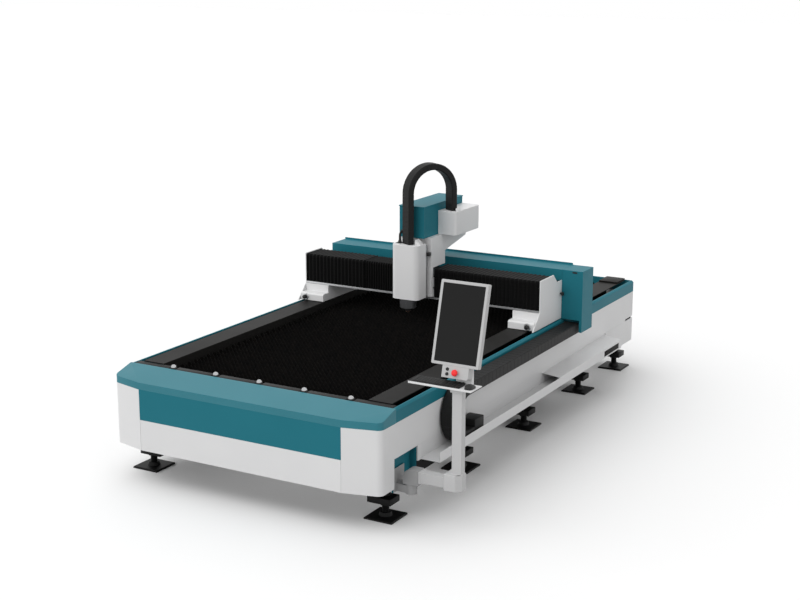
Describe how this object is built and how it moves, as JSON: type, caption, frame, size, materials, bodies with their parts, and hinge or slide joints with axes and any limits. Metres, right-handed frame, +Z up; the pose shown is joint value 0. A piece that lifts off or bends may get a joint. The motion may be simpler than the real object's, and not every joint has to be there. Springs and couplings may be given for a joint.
{
  "type": "laser cutting machine",
  "caption": "Flat-bed laser cutting machine: slatted bed in a sheet-metal shell, sliding gantry with bellows, cross carriage, height-following head, drag chains and swing-out console",
  "frame": {"origin": "on the floor, in the middle of the whole footprint with the console swung out to the side", "axes": "+X to the console side, +Y along the bed from the sloping front to the rear, +Z up"},
  "size_m": [2.626, 4.378, 1.9649],
  "materials": {
    "white_paint": "smooth semi-gloss white enamel",
    "teal_paint": "semi-gloss teal enamel",
    "dark_paint": "satin dark grey enamel",
    "black_paint": "satin black enamel",
    "grey_paint": "satin mid grey enamel",
    "slat_steel": "dull soot-dark rolled steel",
    "bright_steel": "ground steel",
    "aluminium": "machined aluminium",
    "copper": "turned copper",
    "chain_plastic": "matte black plastic",
    "black_rubber": "matte black rubber",
    "bellows_cloth": "coated black cloth",
    "black_plastic": "fine-grained black plastic",
    "screen": "glossy dark display",
    "red_plastic": "glossy red plastic"
  },
  "bodies": {
    "base": {"bed_frame": "dark_paint", "inner_panel": "teal_paint", "front_apron": "white_paint", "front_panel": "teal_paint", "front_hood": "teal_paint", "edge_strips": "teal_paint", "left_side_panel": "white_paint", "right_side_panel": "white_paint", "right_lower_panels": "white_paint", "rear_panel": "white_paint", "support_slats": "slat_steel", "rail_covers": "dark_paint", "y_rails": "bright_steel", "y_racks": "bright_steel", "foot_plates": "black_paint", "foot_stems": "black_paint", "ball_cups": "black_plastic", "chain_tray": "white_paint", "console_bracket": "grey_paint", "y_drag_chain": "chain_plastic"},
    "balls": {"transfer_balls": "bright_steel"},
    "gantry": {"gantry_beam": "dark_paint", "end_plates": "white_paint", "bottom_strip": "aluminium", "gantry_feet": "white_paint", "foot_bumpers": "aluminium", "y_saddles": "bright_steel", "y_motors": "black_paint", "x_rails": "bright_steel", "rear_cover": "teal_paint", "leg_cover": "teal_paint", "bellows_left": "bellows_cloth", "bellows_right": "bellows_cloth"},
    "left_drive": {"pinion_left": "bright_steel"},
    "right_drive": {"pinion_right": "bright_steel"},
    "carriage": {"carriage_plate": "bright_steel", "carriage_column": "white_paint", "z_motor": "black_paint", "carriage_arm": "white_paint", "motor_cover": "teal_paint", "junction_box": "white_paint", "z_drag_chain": "chain_plastic", "head_cable": "black_rubber"},
    "screw": {"z_screw": "bright_steel"},
    "head": {"head_cover": "white_paint", "head_plate": "bright_steel", "cutting_head": "aluminium", "nozzle": "copper"},
    "console": {"console_elbow": "grey_paint", "console_arm": "white_paint", "console_post": "white_paint", "console_desk": "white_paint", "keyboard": "black_plastic", "mouse": "black_plastic", "monitor": "white_paint", "monitor_glass": "screen", "control_box": "white_paint"},
    "stop": {"stop_button": "red_plastic"},
    "upper_switch": {"switch_upper": "black_plastic"},
    "lower_switch": {"switch_lower": "black_plastic"}
  },
  "joints": [
    {"name": "gantry_slide", "type": "slide", "parent": "base", "child": "gantry", "axis": [0, 1, 0], "range_m": [-1.74, 1.26], "deforming": ["y_drag_chain"]},
    {"name": "carriage_slide", "type": "slide", "parent": "gantry", "child": "carriage", "axis": [1, 0, 0], "range_m": [-0.75, 0.75], "deforming": ["bellows_left", "bellows_right"]},
    {"name": "head_slide", "type": "slide", "parent": "carriage", "child": "head", "axis": [0, 0, 1], "range_m": [-0.074, 0.035], "deforming": ["z_drag_chain", "head_cable"]},
    {"name": "console_swing", "type": "hinge", "parent": "base", "child": "console", "pos_m": [0.861, -1.83, 0.28], "axis": [0, 0, 1], "range_deg": [-80, 45]},
    {"name": "stop_push", "type": "slide", "parent": "console", "child": "stop", "axis": [0, -0.9668, 0.2554], "range_m": [-0.006, 0], "stiffness_N_per_m": 1500},
    {"name": "upper_switch_push", "type": "slide", "parent": "console", "child": "upper_switch", "axis": [0, -0.9668, 0.2554], "range_m": [-0.003, 0], "stiffness_N_per_m": 800},
    {"name": "lower_switch_push", "type": "slide", "parent": "console", "child": "lower_switch", "axis": [0, -0.9668, 0.2554], "range_m": [-0.003, 0], "stiffness_N_per_m": 800},
    {"name": "ball_roll", "type": "hinge", "parent": "base", "child": "balls", "pos_m": [-0.249, -1.917, 0.771], "axis": [1, 0, 0], "continuous": true},
    {"name": "left_pinion_spin", "type": "hinge", "parent": "gantry", "child": "left_drive", "pos_m": [-1.149, 0.44, 0.6874], "axis": [1, 0, 0], "range_deg": [-3400, 4700]},
    {"name": "right_pinion_spin", "type": "hinge", "parent": "gantry", "child": "right_drive", "pos_m": [0.651, 0.44, 0.6874], "axis": [1, 0, 0], "range_deg": [-3400, 4700]},
    {"name": "screw_spin", "type": "hinge", "parent": "carriage", "child": "screw", "pos_m": [-0.249, 0.2, 1.1], "axis": [0, 0, 1], "range_deg": [-1400, 2800]}
  ],
  "couplings": [
    {"joint": "left_pinion_spin", "follows": "gantry_slide", "rad_per_m": -44.643},
    {"joint": "right_pinion_spin", "follows": "gantry_slide", "rad_per_m": -44.643},
    {"joint": "screw_spin", "follows": "head_slide", "rad_per_m": -628.32}
  ]
}
